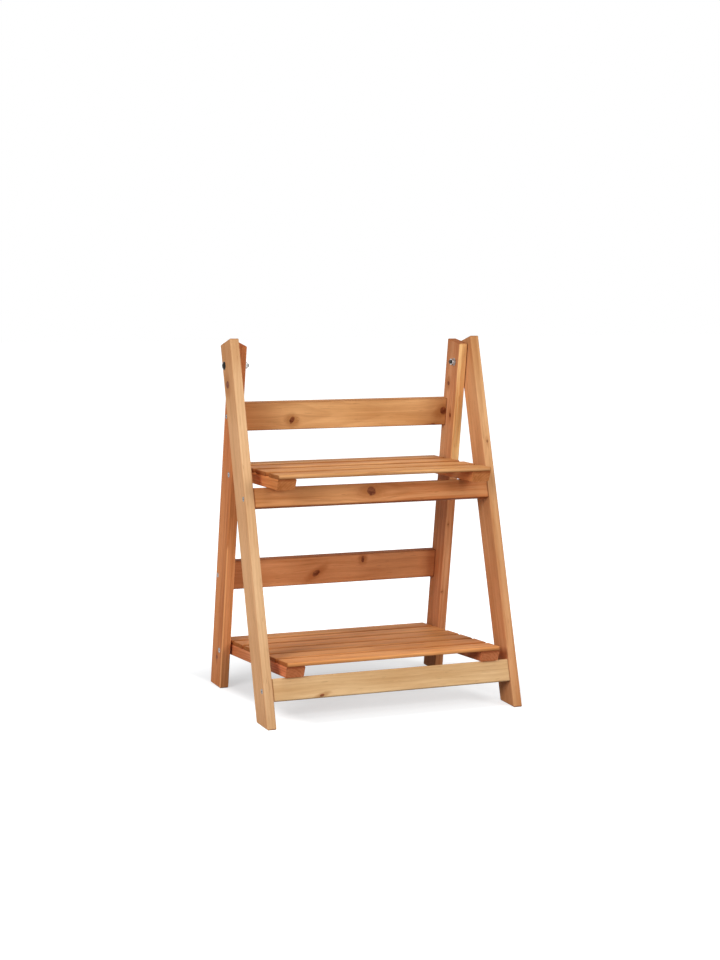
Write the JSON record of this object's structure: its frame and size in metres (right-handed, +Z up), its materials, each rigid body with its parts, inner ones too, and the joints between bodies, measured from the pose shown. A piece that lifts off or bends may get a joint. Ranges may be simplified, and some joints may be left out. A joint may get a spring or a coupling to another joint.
{
  "type": "plant ladder stand",
  "caption": "Folding wooden ladder stand for plants, with slatted shelves hinged on the rear frame that rest on the front rails.",
  "frame": {"origin": "on the floor, midway between the two sides and midway between the front and back edges of the feet", "axes": "+X across the stand to the right as seen from the front, +Y to the back, +Z up"},
  "size_m": [0.446, 0.3028, 0.5814],
  "materials": {
    "tan_wood": "light tan-orange stained softwood, satin",
    "amber_wood": "orange-brown stained softwood, satin",
    "yellow_wood": "yellow-tan stained softwood, satin",
    "red_wood": "reddish orange-brown stained softwood, satin",
    "bar_wood": "reddish brown stained softwood, satin",
    "zinc": "bright zinc plate",
    "dark_steel": "blackened steel, satin",
    "brad_steel": "dull steel",
    "spacer_plastic": "black nylon"
  },
  "bodies": {
    "rear_frame": {"rear_leg_left": "red_wood", "rear_leg_right": "red_wood", "upper_rear_rail": "amber_wood", "lower_rear_rail": "red_wood", "rear_rail_screws": "zinc", "pivot_bolts": "dark_steel", "pivot_nuts": "zinc", "nut_washers": "zinc", "leg_washers": "zinc", "shelf_pivot_screws": "zinc", "shelf_spacers": "spacer_plastic"},
    "front_frame": {"front_leg_left": "tan_wood", "front_leg_right": "amber_wood", "upper_front_rail": "amber_wood", "lower_front_rail": "yellow_wood", "front_rail_screws": "zinc"},
    "upper_shelf": {"upper_bar_left": "bar_wood", "upper_bar_right": "bar_wood", "upper_slat_1": "amber_wood", "upper_slat_2": "amber_wood", "upper_slat_3": "amber_wood", "upper_slat_4": "amber_wood", "upper_slat_brads": "brad_steel"},
    "lower_shelf": {"lower_bar_left": "bar_wood", "lower_bar_right": "bar_wood", "lower_slat_1": "red_wood", "lower_slat_2": "red_wood", "lower_slat_3": "red_wood", "lower_slat_4": "red_wood", "lower_slat_5": "red_wood", "lower_slat_6": "red_wood", "lower_slat_brads": "brad_steel"}
  },
  "joints": [
    {"name": "front_frame_fold", "type": "hinge", "parent": "rear_frame", "child": "front_frame", "pos_m": [0, 0.06939, 0.536], "axis": [1, 0, 0], "range_deg": [0, 24.3]},
    {"name": "upper_shelf_fold", "type": "hinge", "parent": "rear_frame", "child": "upper_shelf", "pos_m": [0, 0.08455, 0.35763], "axis": [-1, 0, 0], "range_deg": [0, 81.6]},
    {"name": "lower_shelf_fold", "type": "hinge", "parent": "rear_frame", "child": "lower_shelf", "pos_m": [0, 0.11297, 0.0625], "axis": [-1, 0, 0], "range_deg": [0, 79.7]}
  ]
}
